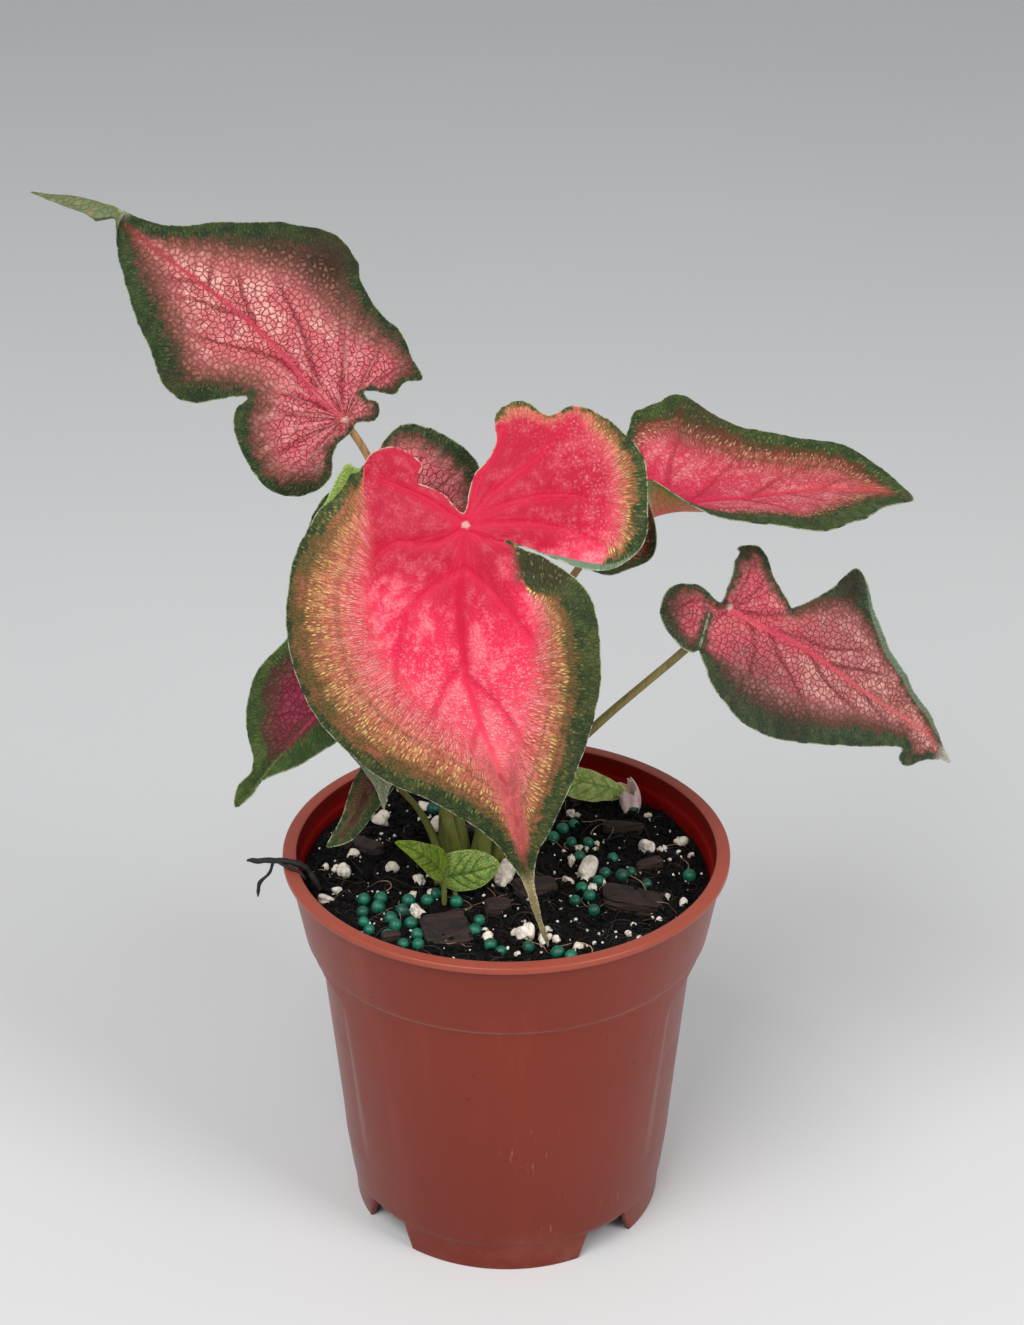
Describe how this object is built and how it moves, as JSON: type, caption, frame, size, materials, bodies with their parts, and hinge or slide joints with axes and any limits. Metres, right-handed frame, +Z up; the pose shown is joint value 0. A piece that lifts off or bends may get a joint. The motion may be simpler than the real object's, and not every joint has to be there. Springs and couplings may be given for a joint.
{
  "type": "potted caladium plant",
  "caption": "Potted caladium: heart-shaped pink leaves with green margins on slender arching stems, rising from dark potting mix in a tapered round terracotta-coloured nursery pot.",
  "frame": {"origin": "middle of the pot's foot, on the surface it stands on", "axes": "+Z up along the pot's axis, -Y towards the front of the picture, +X to its right"},
  "size_m": [0.2417, 0.12, 0.2747],
  "materials": {
    "terracotta_plastic": "semi-gloss moulded plastic with fine scuffs",
    "potting_mix": "damp, loose and matt, with white perlite and green feed beads",
    "tuber_skin": "matt, corky",
    "black_root": "matt",
    "crimson_blade": "thin leaf, soft satin",
    "rose_net_blade": "thin leaf, soft satin",
    "green_rose_blade": "thin leaf, soft satin",
    "spring_green_blade": "thin leaf, soft satin",
    "pale_green_blade": "thin leaf, soft satin",
    "olive_stem": "smooth, fleshy, satin",
    "pale_sheath": "smooth, fleshy, satin"
  },
  "bodies": {
    "root": {"pot": "terracotta_plastic", "soil": "potting_mix", "tuber": "tuber_skin", "twig": "black_root", "leaf_front": "crimson_blade", "leaf_back_left": "rose_net_blade", "leaf_behind": "rose_net_blade", "leaf_right": "crimson_blade", "leaf_lower_right": "rose_net_blade", "leaf_lower_left": "rose_net_blade", "leaf_small_left": "green_rose_blade", "stem_front": "olive_stem", "stem_back_left": "olive_stem", "stem_behind": "olive_stem", "stem_right": "olive_stem", "stem_lower_right": "olive_stem", "stem_lower_left": "olive_stem", "stem_small_left": "olive_stem", "seedling_left": "spring_green_blade", "seedling_left_stem": "olive_stem", "seedling_right": "spring_green_blade", "seedling_right_stem": "olive_stem", "shoot_leaf": "pale_green_blade", "shoot_sheath": "pale_sheath"}
  },
  "joints": []
}
